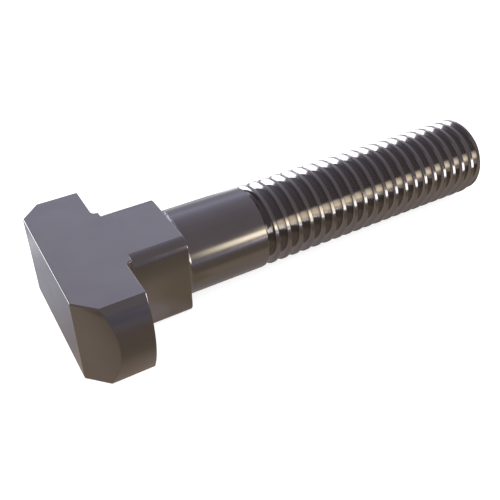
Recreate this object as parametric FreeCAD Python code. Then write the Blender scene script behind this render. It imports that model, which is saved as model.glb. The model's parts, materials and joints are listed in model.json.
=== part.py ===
import FreeCAD, Part
import math
import os

from FreeCAD import Vector

# A hammer-head bolt with a square neck, forged as one piece. It lies on one flat side.
# +X runs along the bolt from the head to the threaded end, and Y across the head.
# x = 0 is the bearing plane under the head, from which a bolt's length is counted.
# z = 0 is the lower flat side of head and neck.

# Sizes in millimetres.
nominal_diameter = 8.0       # thread size, and the slot width that the neck fits
bolt_length = 40.0           # bearing plane to threaded end
head_length = 18.0           # tip to tip across the bolt
head_height = 5.5            # outer end face to bearing plane
head_corner_chamfer = 1.65   # 45 degree cut, as wide as it shows on the flat sides
neck_length = 5.5            # bearing plane to the end of the square neck
neck_edge_radius = 1.05      # round on the four long edges of the neck
neck_root_radius = 0.4       # hollow round between bearing lands and neck
collar_land = 0.12           # sharp-cornered start of the neck, past the hollow round
edge_radius = 0.12           # small round on the other edges of head and neck
thread_length = 26.7         # threaded stretch, counted back from the end
end_chamfer = 0.75           # 45 degree lead-in at the threaded end
shank_undersize = 0.05       # shank diameter below nominal
crest_undersize = 0.10       # thread crest diameter below nominal

# What follows from them.
flat_width = nominal_diameter             # across the flats of head and neck
axis_height = flat_width / 2
tip_radius = head_length / 2
shank_radius = (nominal_diameter - shank_undersize) / 2
crest_radius = (nominal_diameter - crest_undersize) / 2
collar_length = neck_root_radius + collar_land
thread_start = bolt_length - thread_length

axis_point = Vector(0, 0, axis_height)
along = Vector(1, 0, 0)
up = Vector(0, 0, flat_width)


def head_outline():
    """Head seen square to its flat sides: a bar with its two outer corners cut at 45 degrees."""
    flat_half_length = math.sqrt(tip_radius ** 2 - axis_height ** 2)
    end_half_length = flat_half_length - head_corner_chamfer
    cut_depth = tip_radius - end_half_length
    corners = [
        Vector(0, -tip_radius, 0),
        Vector(cut_depth - head_height, -tip_radius, 0),
        Vector(-head_height, -end_half_length, 0),
        Vector(-head_height, end_half_length, 0),
        Vector(cut_depth - head_height, tip_radius, 0),
        Vector(0, tip_radius, 0),
    ]
    return Part.Face(Part.makePolygon(corners + corners[:1]))


def make_head():
    """The bar of the outline, with both ends turned to a circle about the bolt's axis."""
    bar = head_outline().extrude(up)
    round_blank = Part.makeCylinder(tip_radius, head_height, axis_point, -along)
    return bar.common(round_blank)


def neck_block(length):
    """A square bar about the bolt's axis, starting at the bearing plane."""
    corner = Vector(0, -flat_width / 2, 0)
    return Part.makeBox(length, flat_width, flat_width, corner)


def make_neck():
    """Square neck with rounded long edges, and a short sharp-cornered collar at its root."""
    block = neck_block(neck_length)
    long_edges = [edge for edge in block.Edges if edge.BoundBox.XLength > neck_length / 2]
    neck = block.makeFillet(neck_edge_radius, long_edges)
    end_edges = [edge for edge in neck.Edges if edge.BoundBox.XMin > neck_length / 2]
    neck = neck.makeFillet(edge_radius, end_edges)
    return neck.fuse(neck_block(collar_length))


def make_neck_root(side):
    """Hollow round that fills the corner between one side of the neck and its bearing land."""
    neck_side = side * flat_width / 2
    land_edge = side * (flat_width / 2 + neck_root_radius)
    bulge = neck_root_radius * (1 - math.sqrt(0.5))
    corner = Vector(0, neck_side, 0)
    on_neck = Vector(neck_root_radius, neck_side, 0)
    on_land = Vector(0, land_edge, 0)
    middle = Vector(bulge, neck_side + side * bulge, 0)
    outline = Part.Wire([
        Part.makeLine(corner, on_neck),
        Part.Arc(on_neck, middle, on_land).toShape(),
        Part.makeLine(on_land, corner),
    ])
    return Part.Face(outline).extrude(up)


def make_shank():
    """Turned shank and thread blank: half its section, revolved about the bolt's axis."""
    step = shank_radius - crest_radius
    section = [
        (0, 0),
        (0, shank_radius),
        (thread_start, shank_radius),
        (thread_start + step, crest_radius),
        (bolt_length - end_chamfer, crest_radius),
        (bolt_length, crest_radius - end_chamfer),
        (bolt_length, 0),
    ]
    points = [axis_point + Vector(x, radius, 0) for x, radius in section]
    half_section = Part.Face(Part.makePolygon(points + points[:1]))
    return half_section.revolve(axis_point, along, 360)


def is_sharp(solid, edge):
    """Whether the two faces at an edge meet at more than 20 degrees."""
    faces = solid.ancestorsOfType(edge, Part.Face)
    if len(faces) < 2:
        return False
    middle = edge.valueAt((edge.FirstParameter + edge.LastParameter) / 2)
    one, other = [face.normalAt(*face.Surface.parameter(middle)) for face in faces]
    return one.getAngle(other) > math.radians(20)


def round_head_edges(solid):
    """Small round on every sharp edge of the head, run out along the collar."""
    head_edges = [edge for edge in solid.Edges if edge.BoundBox.XMin < neck_root_radius / 2]
    return solid.makeFillet(edge_radius, [edge for edge in head_edges if is_sharp(solid, edge)])


def make_bolt():
    """Head, neck, root rounds and shank joined to one solid, with flush faces merged."""
    pieces = [make_neck(), make_neck_root(-1), make_neck_root(1), make_shank()]
    return round_head_edges(make_head().fuse(pieces).removeSplitter())


os.makedirs("parts", exist_ok=True)
t_bolt = make_bolt()
t_bolt.exportStep("parts/t_bolt.step")
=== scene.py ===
# %% [markdown]
# # A hammer-head bolt with a square neck
#
# The bolt is forged from one bar of steel, and its thread is rolled on afterwards.
# It lies on one flat side, as it does in the photograph. The CAD model gives the
# head, the neck and the plain blank of the shank. This file dresses it: it cuts the
# real helical thread, gives the steel its polish, and sets up the little studio.
#
# Lengths are written in millimetres, as on a drawing, and turned into Blender's
# metres where a mesh or an object is made. The bolt lies along x, with its bearing
# plane at x = 0 and its thread towards larger x.

# %% Tools and frame
import json
import math

import bpy
import numpy as np
from mathutils import Matrix, Vector

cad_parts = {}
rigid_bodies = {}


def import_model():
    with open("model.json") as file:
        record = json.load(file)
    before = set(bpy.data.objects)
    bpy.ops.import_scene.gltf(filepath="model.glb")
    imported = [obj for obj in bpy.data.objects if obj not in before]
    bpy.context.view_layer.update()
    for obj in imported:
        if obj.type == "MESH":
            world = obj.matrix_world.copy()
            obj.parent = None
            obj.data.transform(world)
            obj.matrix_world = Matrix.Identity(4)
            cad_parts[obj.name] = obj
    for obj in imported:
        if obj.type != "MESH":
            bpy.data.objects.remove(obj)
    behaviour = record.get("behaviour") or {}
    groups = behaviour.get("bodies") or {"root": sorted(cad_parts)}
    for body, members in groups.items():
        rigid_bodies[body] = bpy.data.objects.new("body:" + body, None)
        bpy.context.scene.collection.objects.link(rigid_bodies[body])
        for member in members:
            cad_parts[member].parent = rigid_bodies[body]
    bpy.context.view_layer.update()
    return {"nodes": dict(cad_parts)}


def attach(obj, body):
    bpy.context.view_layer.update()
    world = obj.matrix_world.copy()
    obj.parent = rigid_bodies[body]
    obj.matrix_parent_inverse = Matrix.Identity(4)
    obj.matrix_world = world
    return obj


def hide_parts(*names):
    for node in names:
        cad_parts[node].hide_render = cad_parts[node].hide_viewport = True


for leftover in list(bpy.data.objects):
    bpy.data.objects.remove(leftover)

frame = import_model()
mm = 0.001

# %% [markdown]
# ## The camera
#
# The photograph looks down on the bolt from beside its head. The place and direction
# of the camera could be found by eye, by trial. Here they come from a least-squares
# fit of the drawing's corners to the same corners in the photograph, with the middle
# of the lens left free. A picture that was cropped off centre has its lens middle
# beside the picture's middle, which Blender calls shift.

# %% Camera
camera_place = Vector((-12.6864, -45.5990, 41.8043)) * mm
camera_forward = Vector((0.38457, 0.72334, -0.57349)).normalized()
camera_down = Vector((-0.29790, -0.49077, -0.81877))
focal_in_pixels = 685.357
lens_middle = (229.792, 218.791)  # in pixels from the picture's top left corner
picture_size = 500
sensor = 36.0
nearest_seen = 1 * mm
farthest_seen = 10.0  # metres


def make_camera():
    """A camera whose axes are right, up and back, at the fitted place."""
    back = -camera_forward
    right = (-camera_down).cross(back).normalized()
    upward = back.cross(right)
    data = bpy.data.cameras.new("photo_camera")
    data.sensor_width = sensor
    data.lens = focal_in_pixels / picture_size * sensor
    data.shift_x = (picture_size / 2 - lens_middle[0]) / picture_size
    data.shift_y = (lens_middle[1] - picture_size / 2) / picture_size
    data.clip_start = nearest_seen
    data.clip_end = farthest_seen
    camera = bpy.data.objects.new("photo_camera", data)
    turn = Matrix((right, upward, back)).transposed().to_4x4()
    camera.matrix_world = Matrix.Translation(camera_place) @ turn
    bpy.context.scene.collection.objects.link(camera)
    return camera


camera = make_camera()
bpy.context.scene.camera = camera
print("lens", round(camera.data.lens, 2), "mm, shift",
      round(camera.data.shift_x, 4), round(camera.data.shift_y, 4))

# %% [markdown]
# ## The look of the picture
#
# The photograph has a plain white backdrop. Strong lamps could burn a grey one out to
# white, but they would wash out the steel too. Here the world and the floor simply
# have the colour white for the camera, and the Standard view transform shows each
# colour as it is written.

# %% View settings
bpy.context.scene.view_settings.view_transform = "Standard"
print("view transform:", bpy.context.scene.view_settings.view_transform)

# %% [markdown]
# ## Small helpers for shader nodes
#
# A shader is a graph of nodes. It could be put together one node and one link at a
# time, in four or five lines each. These helpers add a node and fill its sockets, and
# most hand back the socket that the next node needs, so a finish reads like a formula.

# %% Node helpers


def add_node(tree, kind, values=None, **settings):
    """Adds a node of a kind, sets its settings, then links or sets its inputs."""
    node = tree.nodes.new(kind)
    for name, value in settings.items():
        setattr(node, name, value)
    for key, value in (values or {}).items():
        if isinstance(value, bpy.types.NodeSocket):
            tree.links.new(value, node.inputs[key])
        else:
            node.inputs[key].default_value = value
    return node


def math_node(tree, operation, *values, clamp=False):
    """A math node of two or three numbers or sockets; gives its result's socket."""
    numbered = dict(enumerate(values))
    return add_node(tree, "ShaderNodeMath", numbered,
                    operation=operation, use_clamp=clamp).outputs[0]


def mix_node(tree, share, one, other, kind="FLOAT"):
    """From one value at share 0 to the other at share 1; gives its result's socket."""
    return add_node(tree, "ShaderNodeMix", {"Factor": share, "A": one, "B": other},
                    data_type=kind).outputs["Result"]


def colour_sum(tree, colour, other):
    """Two colours added; gives its result's socket."""
    return add_node(tree, "ShaderNodeVectorMath", {0: colour, 1: other},
                    operation="ADD").outputs[0]


def colour_times(tree, colour, factor):
    """A colour times a number; gives its result's socket."""
    return add_node(tree, "ShaderNodeVectorMath", {0: colour, "Scale": factor},
                    operation="SCALE").outputs[0]


def ramp_node(tree, factor, stops):
    """A colour ramp through (place, colour) stops; gives its colour's socket."""
    node = add_node(tree, "ShaderNodeValToRGB", {0: factor})
    stops_now = node.color_ramp.elements
    while len(stops_now) < len(stops):
        stops_now.new(0.5)
    for element, (place, colour) in zip(stops_now, stops):
        element.position = place
        element.color = (*colour, 1)
    return node.outputs[0]


print("helpers for math, mixes, colours and ramps are ready")

# %% [markdown]
# ## Soft boxes
#
# Polished steel shows every lamp of the studio as a bright shape with a soft rim. A
# lamp could be an area light or a glowing sheet that stands in the scene. A far lamp
# is no more than a patch of directions, so it can also be drawn into the colour of
# whatever lies that way. That is done here, because such a patch can be placed to the
# degree and shown to mirror rays alone. Its light is a colour times two soft steps,
# one for its width and one for its height.
#
# Azimuth is counted in degrees from the way the threaded end points, leftwards for
# somebody who looks that way, and elevation from the horizon upwards.

# %% Soft boxes


def soft_box(tree, sideways, upwards, box):
    """Light of one soft box: its colour times a soft step for how far a place lies from
    the box's middle sideways, and one for how far upwards or downwards. Both are in
    degrees on the world and the floor, and in millimetres on a flat lamp."""
    middle_side, middle_up, half_width, half_height, edge_side, edge_up, colour = box
    steps = []
    for place, middle, half, edge in ((sideways, middle_side, half_width, edge_side),
                                      (upwards, middle_up, half_height, edge_up)):
        off = math_node(tree, "ABSOLUTE", math_node(tree, "SUBTRACT", place, middle))
        step = add_node(tree, "ShaderNodeMapRange",
                        {"Value": off, "From Min": half + edge, "From Max": half},
                        interpolation_type="SMOOTHSTEP")
        steps.append(step.outputs["Result"])
    return colour_times(tree, colour, math_node(tree, "MULTIPLY", *steps))


def with_boxes(tree, colour, boxes, x, y, z):
    """A colour plus the light of some soft boxes, for a direction (x, y, z): its azimuth
    is the angle of x and y, and its elevation the angle of z above them."""
    azimuth = math_node(tree, "DEGREES", math_node(tree, "ARCTAN2", y, x))
    squares = [math_node(tree, "MULTIPLY", part, part) for part in (x, y)]
    level = math_node(tree, "SQRT", math_node(tree, "ADD", *squares))
    elevation = math_node(tree, "DEGREES", math_node(tree, "ARCTAN2", z, level))
    for box in boxes:
        colour = colour_sum(tree, colour, soft_box(tree, azimuth, elevation, box))
    return colour


print("soft boxes are ready")

# %% [markdown]
# ## The room round the bolt
#
# Polished steel has hardly any colour of its own: it shows the room. In the
# photograph the far side of the room is bright and a little blue, and the side near
# the camera and the ceiling are dim. Such a room could be built from coloured cards.
# One gradient on the world's direction does the same and stays soft everywhere, and
# the far lamps are soft boxes on top of it. Their comments say what they draw on the
# bolt. One takes light away, like the black flag that a photographer puts up.
#
# Only mirror rays see all this. A camera ray sees plain white, and so does the light
# for the floor.

# %% World
far_way = Vector((0.47, 0.88, 0.0)).normalized()
room_stops = [
    # share of the way from the near side of the room to the far side, colour
    (0.00, (0.28, 0.24, 0.26)),
    (0.45, (0.28, 0.24, 0.26)),
    (0.60, (0.31, 0.275, 0.32)),
    (0.71, (0.35, 0.32, 0.39)),
    (0.785, (0.39, 0.37, 0.46)),
    (0.85, (0.50, 0.48, 0.60)),
    (0.88, (0.57, 0.59, 0.70)),
    (0.91, (0.69, 0.69, 0.90)),
    (0.955, (0.52, 0.52, 0.64)),
    (0.99, (0.47, 0.47, 0.56)),
    (1.00, (0.80, 0.80, 0.84)),
]
soft_boxes = [
    # azimuth, elevation, half width, half height, soft edge both ways, colour
    (-67.7, -4, 4.8, 3.5, 2, 4, (0.28, 0.27, 0.30)),  # grey line under the shank's stripe
    (-47, -2, 9, 6, 3, 3, (4.0, 4.0, 4.2)),           # white glints under the cream patches
    (119, 6, 15, 13, 4, 3, (4.5, 4.5, 4.5)),          # white flanks, head's outer edge
    (163, 13, 14, 14, 8, 10, (-0.13, -0.11, -0.12)),  # flag: shade on flanks facing the head
    (53, 18, 6, 5, 4, 3, (1.3, 1.3, 1.4)),            # light lines on neck end and bearing edge
]


def mirror_ray(tree):
    """1 for a ray that a mirror or a glass sends out, 0 for every other ray."""
    path = add_node(tree, "ShaderNodeLightPath").outputs
    return math_node(tree, "MAXIMUM", path["Is Glossy Ray"], path["Is Transmission Ray"])


def make_world():
    """World colour by how far a direction points to the bright side of the room, plus
    the soft boxes."""
    world = bpy.data.worlds.new("room")
    bpy.context.scene.world = world
    world.use_nodes = True
    tree = world.node_tree
    tree.nodes.clear()
    direction = add_node(tree, "ShaderNodeTexCoord").outputs["Generated"]
    towards = add_node(tree, "ShaderNodeVectorMath", {0: direction, 1: far_way},
                       operation="DOT_PRODUCT").outputs["Value"]
    place = math_node(tree, "MULTIPLY_ADD", towards, 0.5, 0.5)
    room = ramp_node(tree, place, room_stops)
    x, y, z = add_node(tree, "ShaderNodeSeparateXYZ", {0: direction}).outputs
    room = with_boxes(tree, room, soft_boxes, x, y, z)
    seen = mix_node(tree, mirror_ray(tree), (1, 1, 1, 1), room, kind="RGBA")
    background = add_node(tree, "ShaderNodeBackground", {"Color": seen, "Strength": 1.0})
    add_node(tree, "ShaderNodeOutputWorld", {"Surface": background.outputs[0]})


make_world()
print("world made, bright side towards", [round(c, 2) for c in far_way],
      "with", len(soft_boxes), "soft boxes")

# %% [markdown]
# ## The floor
#
# A plain sheet lies under the bolt. It could be a large primitive plane. Four corners
# and one face give the same, and their order says which side is up.

# %% Floor sheet
floor_half = 1.5  # metres


def add_object(name, points, faces):
    """An object of the scene from points in metres and the numbers of each face's
    points."""
    mesh = bpy.data.meshes.new(name)
    mesh.from_pydata(points, [], faces)
    piece = bpy.data.objects.new(name, mesh)
    bpy.context.scene.collection.objects.link(piece)
    return piece


def make_floor():
    """A square sheet at height zero with faces up."""
    corners = [(-floor_half, -floor_half, 0), (floor_half, -floor_half, 0),
               (floor_half, floor_half, 0), (-floor_half, floor_half, 0)]
    return add_object("floor", corners, [(0, 1, 2, 3)])


floor = make_floor()
print("floor", floor_half * 2, "m wide")

# %% [markdown]
# ## What the steel sees in the floor
#
# A good part of the bolt mirrors the floor: bright on the far side, and warm and dim
# on the near side, where the room's shade falls. The floor could be painted so, but the
# camera would see the paint. So this light and shade is painted as a gradient for
# mirror rays alone.
#
# Soft boxes that reach below the horizon go on in the floor. It lies so near that a
# place on it is seen in another direction from each end of the bolt, so each box is
# laid out as one point of the bolt sees it.

# %% Colours of the floor for mirror rays
# painted light and shade on the floor, seen only in mirrors
floor_stops = [
    # place across the floor in millimetres, colour
    (-45, (0.21, 0.19, 0.24)),
    (-29, (0.25, 0.23, 0.25)),
    (-19, (0.24, 0.185, 0.16)),
    (-15, (0.245, 0.195, 0.155)),
    (-13, (0.235, 0.19, 0.15)),
    (-11, (0.265, 0.215, 0.165)),
    (-9.5, (0.38, 0.305, 0.24)),
    (-8, (0.42, 0.335, 0.265)),
    (-5, (0.39, 0.32, 0.275)),
    (-2, (0.33, 0.295, 0.30)),
    (0, (0.345, 0.32, 0.335)),
    (3, (0.39, 0.38, 0.415)),
    (6, (0.44, 0.43, 0.485)),
    (9, (0.44, 0.44, 0.50)),
    (11, (0.50, 0.50, 0.56)),
    (14, (0.70, 0.70, 0.76)),
    (17, (0.45, 0.45, 0.49)),
    (25, (0.55, 0.55, 0.59)),
    (40, (0.80, 0.80, 0.84)),
]
floor_span = 50.0  # millimetres that the gradient reaches to each side
seen_from_height = 5.0
floor_boxes = {
    # by the place along the bolt, at that height, from which they are seen:
    # one on the plain shank
    10.0: [
        (62, -14, 2, 10, 4, 8, (0.85, 0.9, 0.9)),            # light rim on top of the shank
        (163, 13, 14, 14, 8, 10, (-0.13, -0.11, -0.12)),     # the world's flag, going on
        (-114, -33, 10, 4, 12, 5, (-0.08, -0.065, -0.08)),   # shade low on the neck's end
        (-143, -26, 4, 3, 8, 4, (0.07, 0.07, 0.10)),         # light low on the neck's root
    ],
    # and one in the thread
    34.0: [
        (-50, -3, 17, 7, 3, 1.5, (4.0, 4.0, 4.2)),           # white glints under the cream patches
        (-91, -5, 9, 1, 6, 1.5, (0.28, 0.27, 0.30)),         # grey line under the shank's stripe
        (-74, -4, 4, 1.5, 5, 1.5, (1.0, 0.85, 0.65)),        # warm lower rim of stripe and patches
        (122, -1, 14, 3.5, 6, 1.5, (4.5, 4.5, 4.5)),         # white flanks near the plain shank
    ],
}


def object_place(tree):
    """Socket of the place on a piece in its own coordinates, in metres."""
    return add_node(tree, "ShaderNodeTexCoord").outputs["Object"]


def floor_colours(tree):
    """What mirror rays see: painted light and shade, a gradient across the floor plus
    its soft boxes.
    """
    along, across = add_node(tree, "ShaderNodeSeparateXYZ", {0: object_place(tree)}).outputs[:2]
    place = math_node(tree, "MULTIPLY_ADD", across, 0.5 / (floor_span * mm), 0.5, clamp=True)
    stops = [(0.5 + 0.5 * y / floor_span, colour) for y, colour in floor_stops]
    colour = ramp_node(tree, place, stops)
    for seen_from, boxes in floor_boxes.items():
        beyond = math_node(tree, "SUBTRACT", along, seen_from * mm)
        colour = with_boxes(tree, colour, boxes, beyond, across, -seen_from_height * mm)
    return colour


print(len(floor_stops), "colours across the floor, and soft boxes as seen from x =",
      list(floor_boxes), "mm")

# %% [markdown]
# ## White for the camera
#
# In the photograph the sheet is plain white. It could be a white glow alone, but then
# the bolt would seem to float. So it is a real diffuse surface, which shows the bolt's
# own soft shadow, with some glow that lifts it to white for the camera.

# %% Floor material
sheet_colour = (0.8, 0.8, 0.8, 1)
sheet_glow = 0.75


def empty_material(name):
    """A new material without nodes, and its node tree."""
    material = bpy.data.materials.new(name)
    material.use_nodes = True
    material.node_tree.nodes.clear()
    return material, material.node_tree


def floor_material():
    """White diffuse with some glow for the camera, and its own colours for mirror rays."""
    material, tree = empty_material("white_sheet")
    sheet = add_node(tree, "ShaderNodeBsdfDiffuse", {"Color": sheet_colour})
    from_camera = add_node(tree, "ShaderNodeLightPath").outputs["Is Camera Ray"]
    lift = add_node(tree, "ShaderNodeEmission",
                    {"Color": (1, 1, 1, 1),
                     "Strength": math_node(tree, "MULTIPLY", from_camera, sheet_glow)})
    lit = add_node(tree, "ShaderNodeAddShader", {0: sheet.outputs[0], 1: lift.outputs[0]})
    mirrored = add_node(tree, "ShaderNodeEmission",
                        {"Color": floor_colours(tree), "Strength": 1.0})
    both = add_node(tree, "ShaderNodeMixShader",
                    {0: mirror_ray(tree), 1: lit.outputs[0], 2: mirrored.outputs[0]})
    add_node(tree, "ShaderNodeOutputMaterial", {"Surface": both.outputs[0]})
    return material


floor.data.materials.append(floor_material())
print("material", floor.data.materials[0].name)

# %% [markdown]
# ## The warm lamp
#
# One lamp stands close in front of the bolt. The steel shows it as the cream stripe on
# the plain shank and as a cream patch in each groove. It is so near that each place on
# the bolt sees it in another direction, so it can't be drawn on the far world. An area
# light is one even rectangle, and the stripe in the photograph has a bright middle and
# wide soft sides. So the lamp is a sheet with soft boxes of its own, in millimetres.
# Only mirror rays see it, and it lets what lies behind it through.

# %% Warm lamp
card_y = -100.0
card_middle = 60.0
card_half_width = 100.0
card_height = 90.0
card_boxes = [
    # place along x and height in millimetres, half width, half height, soft edges, colour
    (59, 28, 3, 3, 19, 16, (3.1, 2.85, 2.1)),    # the shank's stripe, and each groove's patch
    (59, 29, 4, 4, 22, 18, (0.50, 0.44, 0.33)),  # a wider glow round them
    (78, 31, 6, 15, 12, 20, (2.6, 2.3, 1.7)),    # patches in the grooves
]


def make_card():
    """An upright sheet that faces the bolt, which only mirror rays see."""
    left = card_middle - card_half_width
    right = card_middle + card_half_width
    corners = np.array([(right, card_y, 0), (left, card_y, 0),
                        (left, card_y, card_height), (right, card_y, card_height)]) * mm
    card = add_object("warm_lamp", corners, [(0, 1, 2, 3)])
    card.visible_camera = False
    card.visible_diffuse = False
    card.visible_shadow = False
    return card


def card_material():
    """Glow of the lamp's soft boxes, added to what lies behind the sheet."""
    material, tree = empty_material("warm_glow")
    place = add_node(tree, "ShaderNodeSeparateXYZ", {0: object_place(tree)}).outputs
    x, z = [math_node(tree, "MULTIPLY", place[axis], 1 / mm) for axis in "XZ"]
    colour = (0, 0, 0)
    for box in card_boxes:
        colour = colour_sum(tree, colour, soft_box(tree, x, z, box))
    glow = add_node(tree, "ShaderNodeEmission", {"Color": colour, "Strength": 1.0})
    clear = add_node(tree, "ShaderNodeBsdfTransparent")
    both = add_node(tree, "ShaderNodeAddShader", {0: glow.outputs[0], 1: clear.outputs[0]})
    add_node(tree, "ShaderNodeOutputMaterial", {"Surface": both.outputs[0]})
    return material


card = make_card()
card.data.materials.append(card_material())
print("warm lamp", -card_y, "mm in front of the bolt")

# %% [markdown]
# ## Head and neck
#
# The forged head has flat corner cuts, turned ends and a small round on every edge,
# and the square neck grows out of it over hollow rounds. They could be modelled again
# from patches, but the CAD model has every one of these faces in its true place. So
# its triangles are copied, merged to one skin and kept up to the end of the neck. The
# plain blank behind it is left out, because a threaded shank takes its place.

# %% Head and neck from the CAD model
neck_end = 5.5
axis_height = 4.0
reach_tolerance = 0.01
cad_decimals = 4


def real_triangles(triangles):
    """The triangles whose three corners are three different points."""
    a, b, c = triangles.T
    return triangles[(a != b) & (b != c) & (c != a)]


def merge_points(points, triangles, decimals):
    """Points that agree to some decimals of a millimetre become one point, and
    triangles that shrink to a line go."""
    merged, renumbered = np.unique(np.round(points, decimals), axis=0, return_inverse=True)
    return merged, real_triangles(renumbered.reshape(-1)[triangles])


def merged_copy(node):
    """Points and triangles of a CAD node, with equal points merged to one."""
    source = node.data
    places = np.empty(len(source.vertices) * 3)
    source.vertices.foreach_get("co", places)
    source.calc_loop_triangles()
    corners = np.empty(len(source.loop_triangles) * 3, dtype=int)
    source.loop_triangles.foreach_get("vertices", corners)
    return merge_points(places.reshape(-1, 3) / mm, corners.reshape(-1, 3), cad_decimals)


def head_and_neck():
    """The merged triangles that don't reach past the neck's end, and the ring of
    points, in order of angle, at which the shank was cut off."""
    points, triangles = merged_copy(frame["nodes"]["t_bolt"])
    beyond = points[triangles][:, :, 0].max(axis=1) > neck_end + reach_tolerance
    kept = triangles[~beyond]
    ring = np.intersect1d(kept, triangles[beyond])
    angles = np.arctan2(points[ring, 2] - axis_height, points[ring, 1]) % (2 * np.pi)
    order = np.argsort(angles)
    return points, kept, ring[order], angles[order]


head_points, head_triangles, neck_ring, neck_angles = head_and_neck()
print(len(head_triangles), "triangles in head and neck,",
      len(neck_ring), "points round the shank")

# %% [markdown]
# ## The thread's section
#
# On a rolled metric thread the flanks stand 60 degrees apart, the crests are flat and
# the roots are rounded. In the photograph the crests look wide and the roots nearly
# sharp, so this one has a flat of 0.33 mm and a root of 0.02 mm. The section could be
# drawn as an outline and carried along a helix. As a function of one number it is
# shorter and takes whole arrays: how far a point is from the nearest crest, counted in
# pitches, from 0 on the crest to 1/2 in the root.

# %% Thread section
pitch = 1.25
flank_tilt = math.radians(30)
flank_slope = 1 / math.tan(flank_tilt)
crest_half = 0.165
root_half = 0.01
crest_bend = 0.03
root_bend = 0.008
thread_depth = (pitch / 2 - root_half - crest_half) * flank_slope


def soft_slope(distance, corner, bend):
    """Zero before a corner, a straight slope after it, and between them, over a length
    of bend on both sides, the parabola that touches both."""
    past = np.clip(distance - corner + bend, 0, 2 * bend)
    parabola = past ** 2 / (4 * bend)
    return flank_slope * (parabola + np.maximum(distance - corner - bend, 0))


def thread_cut(share):
    """Depth of the cut, in millimetres, at a share of a pitch from the crest: it starts
    to slope at the crest's corner and stops at the root's."""
    distance = np.abs(share) * pitch
    to_root = soft_slope(distance, pitch / 2 - root_half, root_bend)
    return soft_slope(distance, crest_half, crest_bend) - to_root


print("thread depth", round(thread_depth, 4), "mm")

# %% [markdown]
# ## The threaded shank
#
# Behind the neck the bolt is a plain round bar. Then the thread sets in, and at the end
# a 45 degree cone leads into it. The thread could be cut with a boolean, turn by turn.
# It is simpler to see the shank as one surface with two parameters, the angle round the
# axis and the place along it, and to let the radius follow the thread's section.

# %% Radius of the shank
bolt_length = 40.0
shank_radius = 3.975
crest_radius = 3.95
thread_start = 13.3
run_out = 0.25
end_chamfer = 0.75
end_round = 0.12
# One point of the crest's line, which sets where the crests lie in the photograph.
crest_place = 14.05
crest_angle = 1.146


def end_outline(x):
    """Radius at the bolt's end: a 45 degree cone, and a small circle from the cone to
    the flat end."""
    cone = crest_radius + (bolt_length - end_chamfer) - x
    middle_x = bolt_length - end_round
    middle_radius = crest_radius - end_chamfer - end_round * (math.sqrt(2) - 1)
    beyond = np.clip((x - middle_x) / end_round, 0, 1)
    circle = middle_radius + end_round * np.sqrt(1 - beyond ** 2)
    return np.where(beyond > math.sqrt(0.5), circle, cone)


def shank_radius_at(x, angle):
    """Radius of the plain shank, easing as 3e^2 - 2e^3 to the crests' radius where the
    thread starts, less the thread's cut, which fades in alike, and never above the end's
    outline. A point's turns from the crest are its way along the axis, counted in
    pitches, less its angle, counted in turns."""
    ease = np.clip((x - thread_start) / run_out, 0, 1)
    ease = ease * ease * (3 - 2 * ease)
    outside = shank_radius + (crest_radius - shank_radius) * ease
    turns = (x - crest_place) / pitch - (angle - crest_angle) / (2 * np.pi)
    cut = ease * thread_cut(turns - np.round(turns))
    return np.minimum(outside - cut, end_outline(x))


print("radius at the flat end", round(float(end_outline(np.array(bolt_length))), 3), "mm")

# %% [markdown]
# ## Rows that climb with the thread
#
# A rolled crest is one smooth line that winds round the bolt. On a grid of plain rings,
# which would be the first idea, the crests would cross the rows at a slant and look
# sawn. So the rows of the threaded stretch climb with the helix: each row keeps its
# place on the thread's section all the way, and after one turn it meets the row one
# pitch further on. Rows lie closer where the section bends, at the crest and in the
# root. A row that would leave the stretch stays on its first or last ring.

# %% Grid of the threaded shank
columns = 180
neck_gap = 0.3  # between the neck's end and the first ring
plain_rings = 25
end_rings = 5
spare_turns = 2
# Places of rows from a crest's middle to the root, in millimetres, turned into pitches.
half_section = np.array([0.09, 0.135, 0.165, 0.195, 0.38, 0.56, 0.59, 0.607]) / pitch
row_places = np.concatenate([[0], half_section, [0.5], 1 - half_section[::-1]])
angles = np.arange(columns) * 2 * np.pi / columns


def shank_points_at(x, angle):
    """Points of the shank's surface for places along the axis and angles round it."""
    radius = shank_radius_at(x, angle)
    return np.stack([x, radius * np.cos(angle),
                     axis_height + radius * np.sin(angle)], axis=-1).reshape(-1, 3)


def climbing_rows(start, end):
    """Points of the threaded stretch and their numbers, a row for each place on the
    section. The last column closes the turn: it is the first, one pitch further on."""
    first = math.floor((start - crest_place) / pitch - spare_turns)
    last = math.ceil((end - crest_place) / pitch + spare_turns)
    row_turn = (np.arange(first, last)[:, None] + row_places).reshape(-1, 1)
    place = crest_place + pitch * (row_turn + (angles - crest_angle) / (2 * np.pi))
    x = np.clip(place, start, end)
    points = shank_points_at(x, np.broadcast_to(angles, x.shape))
    lowest = (place <= start).sum(axis=0) - 1
    highest = (place < end).sum(axis=0)
    row = np.arange(len(row_turn)).reshape(-1, 1)
    number = np.clip(row, lowest, highest) * columns + np.arange(columns)
    one_turn_on = np.clip(row + len(row_places), lowest[0], highest[0]) * columns
    return points, np.hstack([number, one_turn_on])


def straight_rings(places):
    """Points of plain rings at places along the axis, and their numbers."""
    x, angle = np.meshgrid(places, angles, indexing="ij")
    number = np.arange(x.size).reshape(x.shape)
    return shank_points_at(x, angle), np.hstack([number, number[:, :1]])


corner_turn = np.linspace(np.pi / 4, np.pi / 2, end_rings)
corner_places = bolt_length - end_round + end_round * np.sin(corner_turn)
plain_places = np.linspace(neck_end + neck_gap, thread_start, plain_rings)
stretches = [straight_rings(plain_places),
             climbing_rows(thread_start, corner_places[0]),
             straight_rings(corner_places)]
print("points in the stretches:", [len(points) for points, number in stretches])

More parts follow.
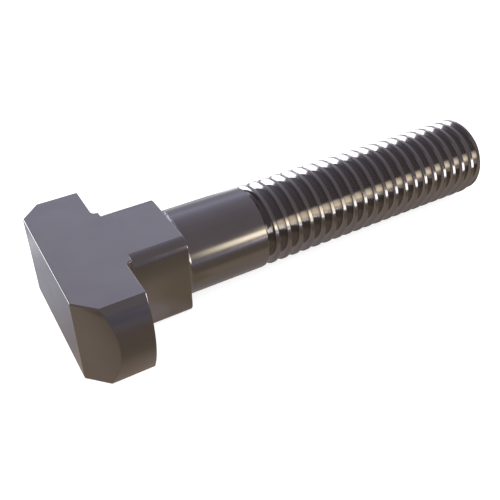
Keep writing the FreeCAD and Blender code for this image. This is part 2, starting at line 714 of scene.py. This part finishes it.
# %% [markdown]
# ## One skin
#
# The real bolt is one piece of steel, so its surface is one closed skin. Head and shank
# could just be pushed into each other, but then faces would lie hidden inside. So the
# stretches of the shank share their end rings, which lie at the same places and are
# merged. At the neck, two rings with different numbers of points face each other, and a
# strip of triangles joins them: walking round both rings at once, each step forward on
# one ring makes a triangle with the point that was last passed on the other. The flat
# end is closed by a fan of triangles round a middle point.

# %% Join everything to one skin
skin_decimals = 6


def grid_triangles(number):
    """Two triangles for each cell of a grid of point numbers, facing out. Cells that
    shrink to a line give none."""
    a, b = number[:-1, :-1], number[:-1, 1:]
    c, d = number[1:, 1:], number[1:, :-1]
    halves = [np.stack([a, b, c], -1), np.stack([a, c, d], -1)]
    return real_triangles(np.concatenate([half.reshape(-1, 3) for half in halves]))


def last_passed(goals, passed, side):
    """For each angle of a walk, the number of the ring's point that was last passed."""
    twice = np.concatenate([passed, passed + 2 * np.pi])
    return (np.searchsorted(twice, goals, side=side) - 1) % len(passed)


def strip_between(ring, ring_angles, other, other_angles):
    """Triangles from a closed ring to another one further along the axis. Both rings
    are in order of angle."""
    steps = np.append(ring_angles[1:], ring_angles[0] + 2 * np.pi)
    apex = other[last_passed(steps, other_angles, "left")]
    forward = np.stack([ring, np.roll(ring, -1), apex], -1)
    steps = np.append(other_angles[1:], other_angles[0] + 2 * np.pi)
    apex = ring[last_passed(steps, ring_angles, "right")]
    back = np.stack([other, apex, np.roll(other, -1)], -1)
    return np.vstack([forward, back])


def one_skin():
    """Points and triangles of the whole bolt, every point used and none doubled."""
    points = [head_points]
    triangles = [head_triangles]
    rings = []
    count = len(head_points)
    for stretch_points, number in stretches:
        points.append(stretch_points)
        triangles.append(grid_triangles(number + count))
        rings.append(number + count)
        count += len(stretch_points)
    points.append([[bolt_length, 0, axis_height]])
    first_ring = rings[0][0, :-1]
    last_ring = rings[-1][-1, :-1]
    triangles.append(strip_between(neck_ring, neck_angles, first_ring, angles))
    middle = np.full(columns, count)
    triangles.append(np.stack([last_ring, np.roll(last_ring, -1), middle], -1))
    merged, kept = merge_points(np.vstack(points), np.vstack(triangles), skin_decimals)
    used, kept = np.unique(kept, return_inverse=True)
    return merged[used], kept.reshape(-1, 3)


skin_points, skin_triangles = one_skin()
sides = np.sort(skin_triangles[:, [0, 1, 1, 2, 2, 0]].reshape(-1, 2), axis=1)
shared = np.unique(sides, axis=0, return_counts=True)[1]
print(len(skin_points), "points,", len(skin_triangles), "triangles,",
      int((shared != 2).sum()), "sides without a partner")

# %% [markdown]
# ## Where the finish changes, and where light is painted
#
# Two places of the bolt look different from the rest. The dies that roll the thread
# press its grooves smooth, so they are glossier. Their colour is painted lighter too:
# painted light in the grooves, which would look dark where they mirror their own dark
# walls. The two flat sides of head and neck are more satin, and their colour is painted
# a little lighter: painted light on those faces. A shader could work out both places
# from its coordinates, with many nodes. Here each point of the mesh carries two shares,
# one for each place, and the shader only reads them.

# %% Shares for the finish and the painted light
groove_fade = 0.25  # of the thread's depth, over which the grooves' finish and painted light set in
flat_tolerance = 1e-3


def groove_share(points):
    """How deep each point lies in the thread, from 0 on the crests to 1 in the grooves."""
    x, y, z = points.T
    outside = np.minimum(crest_radius, end_outline(x))
    threaded = (x > thread_start) & (x < bolt_length - end_round / 2)
    depth = outside - np.hypot(y, z - axis_height)
    share = np.clip(depth / (groove_fade * thread_depth), 0, 1)
    return np.where(threaded, share, 0)


def flat_side_share(points):
    """1 on the two flat sides of head and neck, which lie as far from the axis as the
    axis lies above the floor, and 0 elsewhere."""
    x, y, z = points.T
    on_side = np.abs(np.abs(z - axis_height) - axis_height) < flat_tolerance
    return np.where(on_side & (x < neck_end), 1, 0)


# shares for the finish, and for painted light in the colour
finish_and_painted_light_shares = {"groove": groove_share(skin_points),
                 "flat_side": flat_side_share(skin_points)}
for name, share in finish_and_painted_light_shares.items():
    print(name, "finish on", int((share > 0).sum()), "points")

# %% [markdown]
# ## Steel
#
# The bolt is dark polished steel: a metal, so its colour is what it mirrors, times a
# dark and slightly warm grey. One colour and one polish all over would be the quick
# way, and would look like a toy. The polish of real steel differs a little from place
# to place, so a soft noise moves the roughness and another one the colour by a few
# percent. In the grooves and on the flat sides both follow the shares of the points,
# and there the colour carries painted light.

# %% Steel material
steel_darker = (0.27, 0.26, 0.262)
steel_lighter = (0.292, 0.283, 0.282)
colour_blobs = {"size": 4.0, "detail": 3.0}
polish_blobs = {"size": 1.5, "detail": 4.0}
noise_harshness = 0.6
noise_low = 0.3
noise_high = 0.7
polish_finest = 0.12
polish_coarsest = 0.17
# painted light: a lighter colour deep in the grooves, where they would look dark
painted_groove_light = (0.38, 0.365, 0.36)
groove_polish = 0.09
flat_side_satin = 0.20
# painted light: the flat sides' colour is lifted by this share
flat_side_painted_light = 0.17


def noise(tree, where, size, detail):
    """Noise between 0 and 1 whose blobs are about a given size in millimetres."""
    return add_node(tree, "ShaderNodeTexNoise",
                    {"Vector": where, "Scale": 1 / (size * mm), "Detail": detail,
                     "Roughness": noise_harshness}).outputs["Fac"]


def share_of(tree, name):
    """Socket of a share that the mesh's points carry."""
    return add_node(tree, "ShaderNodeAttribute", attribute_name=name).outputs["Fac"]


def steel_colour(tree, where, groove, flat_side):
    """Noise between two greys, then painted light in the grooves, times a painted
    lift of the colour on the flat sides.
    """
    grey = ramp_node(tree, noise(tree, where, **colour_blobs),
                     [(noise_low, steel_darker), (noise_high, steel_lighter)])
    # painted light: the grey turns into the lighter groove colour deep in the thread
    grey_and_groove_light = mix_node(tree, groove, grey, (*painted_groove_light, 1), kind="RGBA")
    # painted light: the colour is lifted on the flat sides
    gain = math_node(tree, "MULTIPLY_ADD", flat_side, flat_side_painted_light, 1.0)
    return colour_times(tree, grey_and_groove_light, gain)


def steel_roughness(tree, where, groove, flat_side):
    """Noise between two roughnesses, then the groove's, plus more on flat sides."""
    polish = add_node(tree, "ShaderNodeMapRange",
                      {"Value": noise(tree, where, **polish_blobs),
                       "From Min": noise_low, "From Max": noise_high,
                       "To Min": polish_finest, "To Max": polish_coarsest}).outputs[0]
    round_parts = mix_node(tree, groove, polish, groove_polish)
    satin = math_node(tree, "ADD", polish, flat_side_satin)
    return mix_node(tree, flat_side, round_parts, satin)


def steel_material():
    """Principled metal whose colour and roughness change over the surface."""
    material = bpy.data.materials.new("dark_polished_steel")
    material.use_nodes = True
    tree = material.node_tree
    shares = [share_of(tree, name) for name in finish_and_painted_light_shares]
    where = object_place(tree)
    shader = tree.nodes["Principled BSDF"]
    shader.inputs["Metallic"].default_value = 1.0
    tree.links.new(steel_colour(tree, where, *shares), shader.inputs["Base Color"])
    tree.links.new(steel_roughness(tree, where, *shares), shader.inputs["Roughness"])
    return material


steel = steel_material()
print("material", steel.name, "with", len(steel.node_tree.nodes), "nodes")

# %% [markdown]
# ## How light leaves the thread
#
# A polished thread mirrors lamps in clean shapes, and small errors in the directions
# of its faces would make them jagged. Blender can average those directions from the
# triangles, and on long thin ones that average is off. The shank's formula is known,
# so the true direction is worked out from it: a step along the axis and a step round
# it tell how the radius changes, and the direction square to both is the one needed.

# %% Directions of the shank's surface
small_step = 1e-4
shank_from = neck_end + neck_gap / 2


def shank_normals(points):
    """Directions square to the threaded surface, from how its radius changes along the
    axis and round it. Points of head, neck and flat end get none."""
    x, y, z = points.T
    angle = np.arctan2(z - axis_height, y)
    step = small_step
    radius = shank_radius_at(x, angle)
    along = shank_radius_at(x + step, angle) - shank_radius_at(x - step, angle)
    around = shank_radius_at(x, angle + step) - shank_radius_at(x, angle - step)
    along = along / (2 * step)
    around = around / (2 * step * radius)
    normals = np.stack([-along, np.cos(angle) + around * np.sin(angle),
                        np.sin(angle) - around * np.cos(angle)], axis=-1)
    normals /= np.linalg.norm(normals, axis=1, keepdims=True)
    on_shank = (x > shank_from) & (x < bolt_length - step)
    return np.where(on_shank[:, None], normals, 0)


skin_normals = shank_normals(skin_points)
print("own directions for", int(skin_normals.any(axis=1).sum()), "points of the shank")

# %% [markdown]
# ## The bolt
#
# The skin becomes a mesh. Its curved faces are shaded smooth and its real corners stay
# sharp. On head and neck, plain smooth shading would bend the light on the large flats
# towards their rims. Weighted normals let each large face decide the shading there, so
# flats look flat and the small rounds between them catch the light as thin lines.

# %% Bolt object
sharp_angle = math.radians(50)


def make_bolt():
    """The skin as an object that stands for the CAD bolt."""
    bolt = add_object("t_bolt_steel", skin_points * mm, skin_triangles)
    mesh = bolt.data
    for name, share in finish_and_painted_light_shares.items():
        attribute = mesh.attributes.new(name, "FLOAT", "POINT")
        attribute.data.foreach_set("value", share.astype(np.float32))
    mesh.materials.append(steel)
    mesh.shade_smooth()
    mesh.set_sharp_from_angle(angle=sharp_angle)
    mesh.normals_split_custom_set_from_vertices(skin_normals)
    head = bolt.vertex_groups.new(name="head_and_neck")
    head.add(np.flatnonzero(skin_points[:, 0] < shank_from).tolist(), 1.0, "REPLACE")
    weighted = bolt.modifiers.new("flat_faces_first", "WEIGHTED_NORMAL")
    weighted.keep_sharp = True
    weighted.vertex_group = "head_and_neck"
    return bolt


bolt = make_bolt()
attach(bolt, "root")
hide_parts("t_bolt")
print("bolt mesh:", len(bolt.data.polygons), "triangles")
